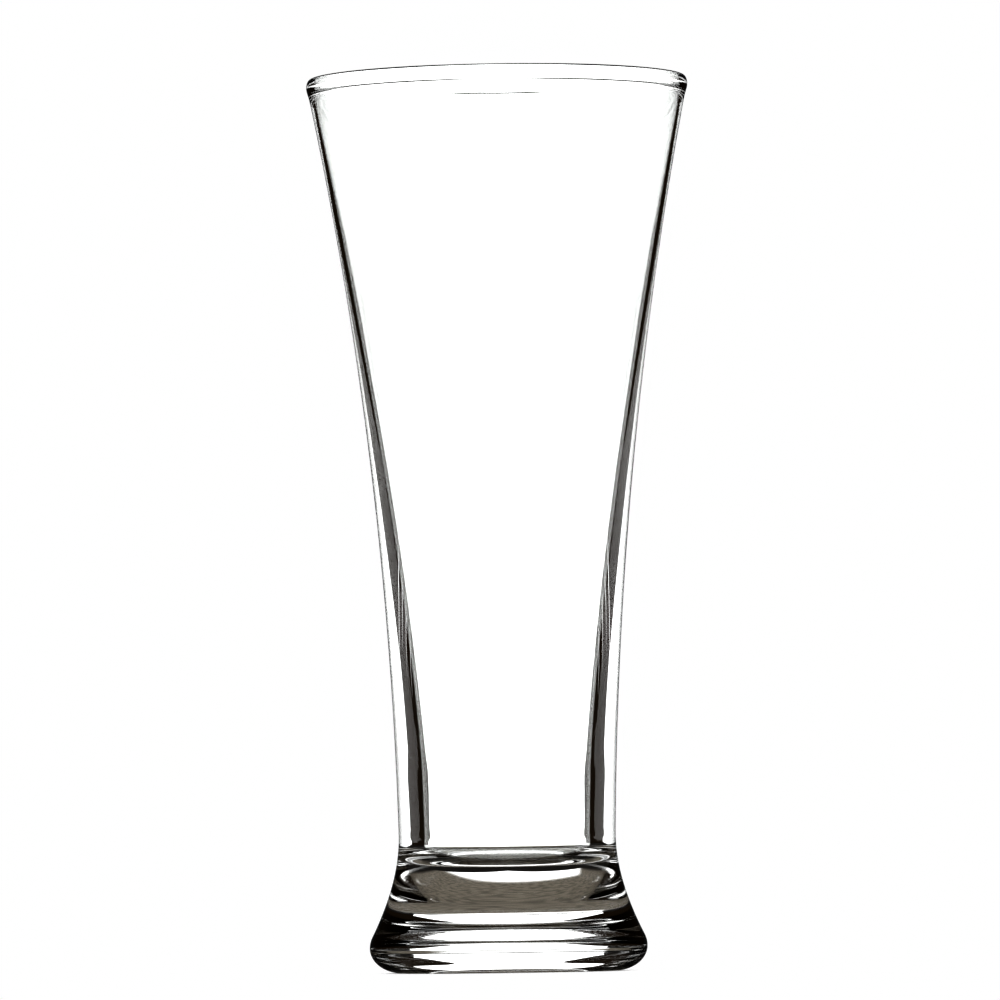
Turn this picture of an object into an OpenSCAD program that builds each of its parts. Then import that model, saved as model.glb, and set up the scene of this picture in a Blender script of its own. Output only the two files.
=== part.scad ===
// Flared pilsner glass with a heavy foot, pressed and blown from clear soda-lime glass.
// Units are millimetres and +Z is up. The origin is the middle of the face that the glass stands on.
// The real glass is one piece. Its three zones, the lip, the hollow bowl and the solid foot,
// are separate solids here, and they meet face to face where the glass runs on without a joint.

/* [Overall] */
// Height from the table to the top of the lip
glass_h = 180; // [150:1:220]

/* [Lip] */
// Outer diameter over the bead of the lip
lip_d = 76.8; // [66:0.2:90]
// How far the bead stands out over the outside of the wall
bead_out = 0.1; // [0.05:0.05:0.4]
// How far the bead stands in over the inside of the wall
bead_in = 0.5; // [0.1:0.05:0.8]
// Height of the bead
bead_h = 3.2; // [1.6:0.1:4]
// Height of plain wall under the bead that is fire-polished with it
lip_run = 0.8; // [0.4:0.1:5]

/* [Bowl] */
// Wall thickness of the upper bowl
wall = 1; // [0.8:0.05:2.5]
// Outward lean of the wall at the lip, as millimetres out for each millimetre up
lip_lean = 0.2; // [0.1:0.01:0.3]
// Wall thickness of the lower bowl
low_wall = 5.1; // [3:0.1:7]
// Height below which the wall has its full lower thickness
thick_below_z = 41; // [35:1:70]
// How softly the thinning starts there: 1 is at once, and more is softer
thin_ease = 1.35; // [1:0.05:2]
// How much of the thinning happens low down: 1 is an even taper, and more is lower down
thin_bias = 2.4; // [1:0.1:4]
// Thickness of glass between the top of the foot and the cavity floor
floor_t = 2.4; // [1.5:0.1:7]
// Radius between the cavity floor and its wall
cavity_fillet = 5; // [1:0.1:10]

/* [Waist] */
// Outer diameter at the waist, the narrowest place
waist_d = 43.6; // [38:0.2:50]
// Height of the waist over the table
waist_z = 28; // [24:0.5:36]
// Outward lean of the wall at the waist
waist_lean = 0.02; // [0:0.005:0.05]

/* [Foot] */
// Largest diameter of the foot
foot_d = 55.8; // [50:0.2:66]
// Radius of the rounded heel at and over its widest line, and its height under that line
heel_radius = 5; // [3:0.1:6]
// How far the heel draws in under its widest line, down to the ring that it stands on
heel_under = 6.5; // [4:0.1:9]
// Angle of the heel's round above its widest line, where the concave flare starts
heel_rise = 26.5; // [15:0.5:35]
// Height at which the foot ends and the bowl starts
foot_h = 18; // [14:0.5:25]
// Width of the flat ring that the glass stands on, between the heel and the hollow under the foot
ring_w = 2; // [1:0.1:8]
// Depth of the hollow under the foot
punt_h = 2.2; // [1:0.1:4]
// How flat the roof of the hollow is: 2 is a plain dome, and more is flatter in the middle
punt_flat = 8; // [2:1:12]

/* [Hidden] */
clear_glass = [0.86, 0.93, 0.92, 0.45];
// Sides of every round, and steps along the curves of the outline
round_fn = 128;
bowl_steps = 44;
flare_steps = 10;
heel_steps = 16;
fillet_steps = 12;
bead_steps = 28;
punt_steps = 14;

// Where the lip zone starts, and the centre of the bead
rim_z = glass_h - bead_h - lip_run;
bead_z = glass_h - bead_h / 2;
bead_w = wall + bead_out + bead_in;
bead_r = lip_d / 2 - bead_w / 2;
// Outer radius of the wall where the lip zone starts: the wall leans out to just inside the bead
rim_wall_r = lip_d / 2 - bead_out - lip_lean * (bead_z - rim_z);
waist_r = waist_d / 2;
heel_centre_r = foot_d / 2 - heel_radius;
heel_top_r = heel_centre_r + heel_radius * cos(heel_rise);
heel_top_z = heel_radius * (1 + sin(heel_rise));
heel_top_lean = -tan(heel_rise);
ring_r = foot_d / 2 - heel_under;
punt_r = ring_r - ring_w;

// Radius at height z on a curve that leaves (z0, r0) at slope s0 and reaches (z1, r1) at slope s1
function sweep_r(z, z0, r0, s0, z1, r1, s1) =
    let (t = (z - z0) / (z1 - z0), run = z1 - z0)
    (1 + 2 * t) * (1 - t) * (1 - t) * r0 + t * (1 - t) * (1 - t) * run * s0
    + t * t * (3 - 2 * t) * r1 + t * t * (t - 1) * run * s1;

// Outside of the bowl above the waist, and of the foot's flare below it
function outer_r(z) = z >= waist_z
    ? sweep_r(z, waist_z, waist_r, waist_lean, rim_z, rim_wall_r, lip_lean)
    : sweep_r(z, heel_top_z, heel_top_r, heel_top_lean, waist_z, waist_r, waist_lean);

// The wall thins upward from the heavy lower bowl to the lip, quickly at first and then slowly
function wall_at(z) =
    let (share = min((rim_z - z) / (rim_z - thick_below_z), 1))
    wall + (low_wall - wall) * pow(1 - pow(1 - share, thin_ease), thin_bias);

function inner_r(z) = outer_r(z) - wall_at(z);

// Points at even heights, from z0 to z1, on the outside and on the inside of the wall
function outer_points(z0, z1, n) = [for (i = [0:n]) let (z = z0 + (z1 - z0) * i / n) [outer_r(z), z]];
function inner_points(z0, z1, n) = [for (i = [0:n]) let (z = z0 + (z1 - z0) * i / n) [inner_r(z), z]];

// Arc about (r, z) from angle a0 to angle a1, with half-width ra and half-height rz
function arc(r, z, ra, rz, a0, a1, n) =
    [for (i = [0:n]) let (a = a0 + (a1 - a0) * i / n) [r + ra * cos(a), z + rz * sin(a)]];

// A list of points without its first one, where two curves share an end
function after_first(points) = [for (i = [1:len(points) - 1]) points[i]];

// The cavity's floor, and its wall, which starts where the fillet ends
cavity_floor_z = foot_h + floor_t;
cavity_wall_z = cavity_floor_z + cavity_fillet;
cavity_low_r = inner_r(cavity_wall_z);

// Points across the hollow under the foot, from the standing ring in to the middle, closer together
// near the ring, where the roof turns down
punt_points = [for (i = [0:punt_steps])
    let (t = cos(90 * i / punt_steps)) [punt_r * t, punt_h * (1 - pow(t, punt_flat))]];

// One zone of the glass, turned round the axis from half of its section
module turned(points) {
    color(clear_glass)
        rotate_extrude($fn = round_fn)
            polygon(points);
}

// The lip: a short run of wall that ends in the fire-polished bead. The bead's outline starts and
// ends on the wall's two faces, at the angles where the bead is as wide as the wall.
module rim() {
    from_outside = acos(1 - 2 * bead_out / bead_w);
    to_inside = acos(1 - 2 * bead_in / bead_w);
    turned(concat(
        [[outer_r(rim_z), rim_z]],
        arc(bead_r, bead_z, bead_w / 2, bead_h / 2, -from_outside, 180 + to_inside, bead_steps),
        [[inner_r(rim_z), rim_z]]
    ));
}

// The bowl: the hollow flared wall, the rounded bottom of the cavity and the glass just below it
module bowl() {
    turned(concat(
        [[0, foot_h]],
        outer_points(foot_h, rim_z, bowl_steps),
        inner_points(rim_z, cavity_wall_z, bowl_steps),
        after_first(arc(cavity_low_r - cavity_fillet, cavity_wall_z, cavity_fillet, cavity_fillet,
            0, -90, fillet_steps)),
        [[0, cavity_floor_z]]
    ));
}

// The foot: the solid base, flared out to a rounded heel. It stands on a flat ring round a
// shallow hollow, so that it doesn't rock.
module foot() {
    turned(concat(
        [[0, foot_h]],
        outer_points(foot_h, heel_top_z, flare_steps),
        after_first(arc(heel_centre_r, heel_radius, heel_radius, heel_radius, heel_rise, 0, heel_steps / 2)),
        after_first(arc(ring_r, heel_radius, heel_under, heel_radius, 0, -90, heel_steps)),
        punt_points
    ));
}

rim();
bowl();
foot();
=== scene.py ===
import math

import bpy
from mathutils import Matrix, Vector


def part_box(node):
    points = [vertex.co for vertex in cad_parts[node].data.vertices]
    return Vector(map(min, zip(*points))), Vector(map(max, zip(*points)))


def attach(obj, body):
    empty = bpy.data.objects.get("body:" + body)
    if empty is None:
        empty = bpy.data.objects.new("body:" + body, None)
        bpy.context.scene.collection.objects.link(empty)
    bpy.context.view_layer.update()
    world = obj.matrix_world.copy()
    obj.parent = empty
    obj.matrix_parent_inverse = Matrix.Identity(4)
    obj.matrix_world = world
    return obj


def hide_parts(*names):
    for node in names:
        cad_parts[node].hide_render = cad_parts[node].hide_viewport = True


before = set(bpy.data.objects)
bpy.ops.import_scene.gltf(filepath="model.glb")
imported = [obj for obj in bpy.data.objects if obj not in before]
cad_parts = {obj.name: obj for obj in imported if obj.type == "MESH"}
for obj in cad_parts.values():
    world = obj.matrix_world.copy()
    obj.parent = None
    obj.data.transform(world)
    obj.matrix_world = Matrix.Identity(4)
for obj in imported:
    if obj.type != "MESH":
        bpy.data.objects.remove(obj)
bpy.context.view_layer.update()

bpy.ops.object.select_all(action="DESELECT")

# The foot: the heavy solid base of the glass, pressed in a mould from clear soda-lime glass.
# It flares out to a rounded heel and stands on a flat ring round a shallow hollow.
# Its half-section is drawn here, from the middle of the hollow out to the waist.
MM = 0.001
foot_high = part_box("foot")[1]
foot_r = foot_high[0] / MM
heel_radius = 5.0
heel_under = 6.5
heel_rise = math.radians(26.5)
ring_w = 2.0
punt_h = 2.2
punt_flat = 8
waist_r = 21.8
waist_z = 28.0
waist_lean = 0.02
heel_centre_r = foot_r - heel_radius
heel_top_r = heel_centre_r + heel_radius * math.cos(heel_rise)
heel_top_z = heel_radius * (1 + math.sin(heel_rise))
ring_r = foot_r - heel_under
punt_r = ring_r - ring_w
punt_steps = 32
heel_steps = 24
flare_steps = 24
same_spot = 1e-6


def sweep_r(z, start, end):
    """Radius on a smooth curve between two ends, each with a height, a radius and a lean."""
    z0, r0, lean0 = start
    z1, r1, lean1 = end
    run = z1 - z0
    t = (z - z0) / run
    held = (1 + 2 * t) * (1 - t) ** 2 * r0 + t * t * (3 - 2 * t) * r1
    return held + run * (t * (1 - t) ** 2 * lean0 + t * t * (t - 1) * lean1)


def arc(r, z, half_w, half_h, start, end, steps):
    """Points on part of an oval about (r, z)."""
    angles = [start + (end - start) * i / steps for i in range(steps + 1)]
    return [(r + half_w * math.cos(a), z + half_h * math.sin(a)) for a in angles]


def heights(z0, z1, steps):
    """Heights at even steps from z0 to z1."""
    return [z0 + (z1 - z0) * i / steps for i in range(steps + 1)]


def draw_on(points):
    """Extrudes the open end of the half-section on through these points."""
    global end_point
    for r, z in points:
        step = ((r - end_point[0]) * MM, 0, (z - end_point[1]) * MM)
        if abs(step[0]) + abs(step[2]) > same_spot:
            bpy.ops.mesh.extrude_region_move(TRANSFORM_OT_translate={"value": step})
            end_point = (r, z)


bpy.ops.mesh.primitive_plane_add(size=MM, location=(0, 0, punt_h * MM))
glass = bpy.context.object
glass.name = "glass_body"
glass.data.name = "glass_body"
bpy.ops.object.transform_apply(location=True, rotation=False, scale=False)
bpy.ops.object.mode_set(mode="EDIT")
bpy.ops.mesh.select_mode(type="VERT")
bpy.ops.mesh.merge(type="CENTER")
end_point = (0.0, punt_h)

punt_shares = [math.sin(math.pi / 2 * i / punt_steps) for i in range(1, punt_steps + 1)]
draw_on([(punt_r * t, punt_h * (1 - t ** punt_flat)) for t in punt_shares])
draw_on(arc(ring_r, heel_radius, heel_under, heel_radius, -math.pi / 2, 0, heel_steps))
draw_on(arc(heel_centre_r, heel_radius, heel_radius, heel_radius, 0, heel_rise, heel_steps // 2))
flare = ((heel_top_z, heel_top_r, -math.tan(heel_rise)), (waist_z, waist_r, waist_lean))
draw_on([(sweep_r(z, *flare), z) for z in heights(heel_top_z, waist_z, flare_steps)])

# The bowl: the tall hollow wall, blown out from the same gather of glass.
# The outside flares from the waist to the lip, and the wall thins upward from 5 mm to 1 mm.
# The outside is drawn here, and the inside follows after the lip.
rim_low, rim_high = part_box("rim")
glass_h = rim_high[2] / MM
rim_z = rim_low[2] / MM
lip_r = rim_high[0] / MM
wall = 1.0
low_wall = 5.1
thick_below_z = 41.0
thin_ease = 1.35
thin_bias = 2.4
lip_lean = 0.2
bead_out = 0.1
bead_in = 0.5
bead_h = 3.2
bead_w = wall + bead_out + bead_in
bead_r = lip_r - bead_w / 2
bead_z = glass_h - bead_h / 2
rim_wall_r = lip_r - bead_out - lip_lean * (bead_z - rim_z)
bowl_steps = 90
bowl_side = (flare[1], (rim_z, rim_wall_r, lip_lean))


def outer_r(z):
    return sweep_r(z, *bowl_side) if z > waist_z else sweep_r(z, *flare)


draw_on([(outer_r(z), z) for z in heights(waist_z, rim_z, bowl_steps)])

# The lip: the top edge of the wall, melted smooth with a flame after the glass is cut to height.
# The melt draws up into a small round bead, which stands in over the inside of the wall.
from_outside = math.acos(1 - 2 * bead_out / bead_w)
to_inside = math.acos(1 - 2 * bead_in / bead_w)
bead_steps = 40
draw_on(arc(bead_r, bead_z, bead_w / 2, bead_h / 2, -from_outside, math.pi + to_inside, bead_steps))

# The cavity: the inside of the bowl, down to its rounded bottom over the solid foot.
# The section ends in the middle of the cavity floor, and is then turned round the axis.
floor_t = 2.4
cavity_floor_z = foot_high[2] / MM + floor_t
cavity_fillet = 5.0
cavity_wall_z = cavity_floor_z + cavity_fillet
fillet_steps = 20
floor_steps = 6
round_steps = 256


def inner_r(z):
    share = min((rim_z - z) / (rim_z - thick_below_z), 1.0)
    thick = (1 - (1 - share) ** thin_ease) ** thin_bias
    return outer_r(z) - wall - (low_wall - wall) * thick


draw_on([(inner_r(z), z) for z in heights(rim_z, cavity_wall_z, bowl_steps)])
floor_r = inner_r(cavity_wall_z) - cavity_fillet
draw_on(arc(floor_r, cavity_wall_z, cavity_fillet, cavity_fillet, 0, -math.pi / 2, fillet_steps))
draw_on([(floor_r * (1 - i / floor_steps), cavity_floor_z) for i in range(1, floor_steps + 1)])

bpy.ops.mesh.select_all(action="SELECT")
bpy.ops.mesh.spin(steps=round_steps, angle=2 * math.pi, center=(0, 0, 0), axis=(0, 0, 1))
bpy.ops.mesh.select_all(action="SELECT")
bpy.ops.mesh.remove_doubles(threshold=same_spot)
bpy.ops.mesh.normals_make_consistent(inside=False)
bpy.ops.object.mode_set(mode="OBJECT")
bpy.ops.object.shade_smooth()
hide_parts("rim", "bowl", "foot")
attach(glass, "root")

# The glass itself: clear soda-lime glass. It is never quite flat, and slow waves run over it.
# The hollow under the foot keeps the fine stipple of the mould, and the stipple is tinted grey:
# painted shade for the dim light that comes through the hollow.
wave_size, wave_height = 16.0, 0.006
stipple_size, stipple_height = 0.7, 0.01
stipple_thin, stipple_full = 0.35, 0.65
hollow_z = punt_h + 0.2
hollow_r = punt_r + 0.1
glass_ior = 1.52
clear_tint = (0.975, 0.985, 0.98, 1)
# The grey of the stipple is painted shade.
stipple_shade_tint = (0.6, 0.57, 0.52, 1)
clear_glass = bpy.data.materials.new("clear_glass")
clear_glass.use_nodes = True
nodes = clear_glass.node_tree.nodes
links = clear_glass.node_tree.links
shader = nodes["Principled BSDF"]
shader.inputs["Transmission Weight"].default_value = 1.0
shader.inputs["Roughness"].default_value = 0.0
shader.inputs["IOR"].default_value = glass_ior
place = nodes.new("ShaderNodeTexCoord")
parts = nodes.new("ShaderNodeSeparateXYZ")
links.new(place.outputs["Object"], parts.inputs[0])


def work_out(operation, *values):
    """One Math node in the material at hand: sockets are linked, and plain numbers are set."""
    step = nodes.new("ShaderNodeMath")
    step.operation = operation
    for socket, value in zip(step.inputs, values):
        if isinstance(value, (int, float)):
            socket.default_value = value
        else:
            links.new(value, socket)
    return step.outputs[0]


def fade(value, start, end):
    """0 up to the start value and 1 from the end value on, with a soft step between."""
    edge = nodes.new("ShaderNodeMapRange")
    edge.interpolation_type = "SMOOTHSTEP"
    edge.inputs["From Min"].default_value = start
    edge.inputs["From Max"].default_value = end
    links.new(value, edge.inputs["Value"])
    return edge.outputs["Result"]


def grain(size):
    """Smooth noise round 0.5 with lumps of about this size in millimetres."""
    noise = nodes.new("ShaderNodeTexNoise")
    noise.inputs["Scale"].default_value = 1 / (size * MM)
    noise.inputs["Detail"].default_value = 1.0
    links.new(place.outputs["Object"], noise.inputs["Vector"])
    return noise.outputs["Fac"]


def from_axis(x, y):
    """Distance from the axis of the glass."""
    across_squared = work_out("MULTIPLY", x, x)
    return work_out("SQRT", work_out("MULTIPLY_ADD", y, y, across_squared))


def blend(share, first, second):
    """A mix of two colours. Each is a plain colour or a socket."""
    mix = nodes.new("ShaderNodeMix")
    mix.data_type = "RGBA"
    links.new(share, mix.inputs["Factor"])
    for name, colour in (("A", first), ("B", second)):
        if isinstance(colour, tuple):
            mix.inputs[name].default_value = colour
        else:
            links.new(colour, mix.inputs[name])
    return mix.outputs["Result"]


low_down = work_out("LESS_THAN", parts.outputs["Z"], hollow_z * MM)
in_hollow = work_out("LESS_THAN", from_axis(parts.outputs["X"], parts.outputs["Y"]), hollow_r * MM)
pressed = work_out("MULTIPLY", low_down, in_hollow)
stippled = work_out("MULTIPLY", pressed, fade(grain(stipple_size), stipple_thin, stipple_full))
links.new(blend(stippled, clear_tint, stipple_shade_tint), shader.inputs["Base Color"])
raised = work_out("MULTIPLY", stippled, stipple_height)
relief = work_out("MULTIPLY_ADD", grain(wave_size), wave_height, raised)
bump = nodes.new("ShaderNodeBump")
bump.inputs["Distance"].default_value = MM
links.new(relief, bump.inputs["Height"])
links.new(bump.outputs["Normal"], shader.inputs["Normal"])
glass.data.materials.append(clear_glass)

# The stage: a pale round floor, lit from behind over a part that widens like a wedge away from the
# glass. Round that part, shade is painted into the floor's colour and cover, and this painted shade
# shows only through the glass. Beside the glass nothing of the floor shows but the faint painted
# shadow at the foot. Its sizes are in metres, and only the two grains are in millimetres.
floor_edge_r, floor_sides = 0.44, 128
bpy.ops.mesh.primitive_circle_add(vertices=floor_sides, radius=floor_edge_r, fill_type="NGON")
floor = bpy.context.object
floor.name = "floor"
floor_paint = bpy.data.materials.new("pale_floor")
floor_paint.use_nodes = True
nodes = floor_paint.node_tree.nodes
links = floor_paint.node_tree.links
paint = nodes["Principled BSDF"]
floor_roughness = 0.8
paint.inputs["Roughness"].default_value = floor_roughness
soft_edge = 0.006
wedge_start, wedge_lean = 0.0294, 1.51
# The painted shade round the glass ends in an uneven slanted edge, and a bar of deeper painted
# shade lies beyond that edge.
shade_end, shade_lean = 0.059, 0.4
shade_lumps, shade_wander = 40.0, 0.02
shade_reach = 0.3
bar_start, bar_end, bar_lean = 0.0825, 0.1, 0.7
# The painted shade is flecked with a darker grain, and it is painted deeper to the left and right.
shade_tone = (0.36, 0.32, 0.26, 1)
shade_fleck_tone = (0.216, 0.192, 0.156, 1)
fleck_size, fleck_thin, fleck_full = 1.1, 0.35, 0.6
deep_shade = (0.03, 0.025, 0.02, 1)
deep_half, deep_soft = 0.02, 0.005
# Light through one wall or the foot crosses 2 faces of glass, and through both walls it crosses 4.
one_wall_limit = 3.5
close_r = 0.054
# The faint painted shadow at the foot
plain_floor = (1, 1, 1, 1)
contact_shadow_tone = (0.7, 0.7, 0.7, 1)
contact_r = 0.018
plain_r = 0.021
place = nodes.new("ShaderNodeTexCoord")
path = nodes.new("ShaderNodeLightPath")
parts = nodes.new("ShaderNodeSeparateXYZ")
links.new(place.outputs["Object"], parts.inputs[0])
across = parts.outputs["X"]
back = parts.outputs["Y"]
side = work_out("ABSOLUTE", across)
away = from_axis(across, back)

into_wedge = work_out("SUBTRACT", back, work_out("MULTIPLY", side, wedge_lean))
in_wedge = fade(into_wedge, wedge_start, wedge_start + soft_edge)
uneven = work_out("MULTIPLY_ADD", work_out("SUBTRACT", grain(shade_lumps), 0.5), shade_wander, back)
slanted = work_out("SUBTRACT", uneven, work_out("MULTIPLY", across, shade_lean))
past_shade = fade(slanted, shade_end, shade_end + soft_edge)
arched = work_out("MULTIPLY_ADD", side, bar_lean, back)
past_bar_start = work_out("GREATER_THAN", arched, bar_start)
in_shade_bar = work_out("MULTIPLY", past_bar_start, work_out("LESS_THAN", arched, bar_end))
lit = work_out("MULTIPLY", in_wedge, past_shade)
lit = work_out("MULTIPLY", lit, work_out("SUBTRACT", 1, in_shade_bar))

# The painted shade shows to light through one wall or the foot, and close to the glass to all light
# that comes through it.
one_wall = work_out("LESS_THAN", path.outputs["Transmission Depth"], one_wall_limit)
close = work_out("LESS_THAN", away, close_r)
near_glass = work_out("LESS_THAN", away, shade_reach)
unlit = work_out("MULTIPLY", work_out("SUBTRACT", 1, lit), near_glass)
shade = work_out("MULTIPLY", unlit, work_out("MAXIMUM", one_wall, close))
under = work_out("SUBTRACT", 1, fade(away, plain_r, plain_r + soft_edge))

flecked_shade = blend(fade(grain(fleck_size), fleck_thin, fleck_full), shade_fleck_tone, shade_tone)
deep = work_out("MAXIMUM", fade(side, deep_half, deep_half + deep_soft), in_shade_bar)
shaded_floor = blend(deep, flecked_shade, deep_shade)
# The camera sees only the painted shadow at the foot, which fades into the plain white floor.
contact = blend(fade(away, contact_r, contact_r + soft_edge), contact_shadow_tone, plain_floor)
seen_by_camera = path.outputs["Is Camera Ray"]
links.new(blend(seen_by_camera, shaded_floor, contact), paint.inputs["Base Color"])
floor_cover = nodes.new("ShaderNodeMix")
links.new(seen_by_camera, floor_cover.inputs["Factor"])
links.new(shade, floor_cover.inputs["A"])
links.new(under, floor_cover.inputs["B"])
links.new(floor_cover.outputs["Result"], paint.inputs["Alpha"])
floor.data.materials.append(floor_paint)

# The studio: an evenly lit white room. Dark flags hang just past the edge of the floor, left and
# right of an open middle behind the glass. A dark drape hangs higher round the rest of the room.
# Below the flags are dark slats, which lean so that a view from above passes between them.
flag_distance = 0.45
# A row of an edge is a height in metres and the angle in degrees at which the cloth starts there.
flag_edge = [(0.018, 31), (0.04, 27), (0.07, 23), (0.1, 20), (0.12, 17.5), (0.15, 16)]
flag_edge += [(0.18, 20), (0.22, 40), (0.24, 46), (0.34, 46), (0.5, 33), (2.0, 33)]
flag_end = 72
drape_edge = [(0.185, flag_end), (2.0, flag_end)]
slat_start = 32
top_slat_z, slat_step, slat_count = 0.015, 0.005, 9
slat_reach = 0.0085
high_eye_z, high_eye_away = 0.935, 2.26
column_angle = 4
cloth_glow_tone = (0.02, 0.012, 0.006, 1)
room_light = 1.9
mirror_light = 0.02
# The cloth is no lamp, but it glows with its own faint tone: painted light in place of the little room
# light a dark cloth sends back.
cloth = bpy.data.materials.new("dark_cloth")
cloth.use_nodes = True
nodes = cloth.node_tree.nodes
nodes.clear()
glow = nodes.new("ShaderNodeEmission")
glow.inputs["Color"].default_value = cloth_glow_tone
output = nodes.new("ShaderNodeOutputMaterial")
cloth.node_tree.links.new(glow.outputs[0], output.inputs["Surface"])


def hang(name, rows, end):
    """A curved dark cloth. Each row has a distance from the axis, a height and a starting angle."""
    columns = round(abs(end - rows[0][2]) / column_angle)
    spots = []
    for distance, z, start in rows:
        for i in range(columns + 1):
            angle = math.radians(start + (end - start) * i / columns)
            spots.append((distance * math.sin(angle), distance * math.cos(angle), z))
    bpy.ops.mesh.primitive_grid_add(x_subdivisions=columns, y_subdivisions=len(rows) - 1)
    piece = bpy.context.object
    piece.name = name
    for vertex, spot in zip(piece.data.vertices, spots):
        vertex.co = spot
    piece.visible_camera = False
    piece.visible_diffuse = False
    piece.data.materials.append(cloth)


for side_name, turn in (("left", -1), ("right", 1)):
    flag_rows = [(flag_distance, z, turn * start) for z, start in flag_edge]
    hang(f"{side_name}_flag", flag_rows, turn * flag_end)
    for number in range(slat_count):
        z = top_slat_z - slat_step * number
        slat_rise = slat_reach * (high_eye_z - z) / high_eye_away
        inner_edge = (flag_distance - slat_reach, z + slat_rise, turn * slat_start)
        outer_edge = (flag_distance + slat_reach, z - slat_rise, turn * slat_start)
        hang(f"{side_name}_slat_{number + 1}", [inner_edge, outer_edge], turn * flag_end)
hang("drape", [(flag_distance, z, start) for z, start in drape_edge], 360 - flag_end)

studio = bpy.data.worlds.new("studio")
bpy.context.scene.world = studio
studio.use_nodes = True
nodes = studio.node_tree.nodes
links = studio.node_tree.links
path = nodes.new("ShaderNodeLightPath")
through_glass = path.outputs["Is Transmission Ray"]
through_light = work_out("MULTIPLY_ADD", through_glass, room_light - 1, 1)
mirror_only = work_out("SUBTRACT", path.outputs["Is Glossy Ray"], through_glass)
mirror_only.node.use_clamp = True
strength = work_out("MULTIPLY_ADD", mirror_only, mirror_light - 1, through_light)
nodes["Background"].inputs["Color"].default_value = (1, 1, 1, 1)
links.new(strength, nodes["Background"].inputs["Strength"])

# The camera: just above the floor, two metres away, with a slight tilt up towards the lip.
# The picture is developed with more contrast than usual, which darkens the greys in the glass.
camera_distance = 2.0
frame_height = 0.2012
camera_z = 0.0213
aim = Vector((-0.0005, 0, 0.0949))
roll = math.radians(-0.8)
picture_gamma = 0.7
lens_data = bpy.data.cameras.new("camera")
camera = bpy.data.objects.new("camera", lens_data)
bpy.context.scene.collection.objects.link(camera)
bpy.context.scene.camera = camera
camera.location = (0, -camera_distance, camera_z)
camera.rotation_euler = (aim - camera.location).to_track_quat("-Z", "Y").to_euler()
camera.rotation_euler.rotate_axis("Z", roll)
lens_data.sensor_width = 36
lens_data.lens = lens_data.sensor_width * camera_distance / frame_height
bpy.context.scene.view_settings.view_transform = "Standard"
bpy.context.scene.view_settings.gamma = picture_gamma
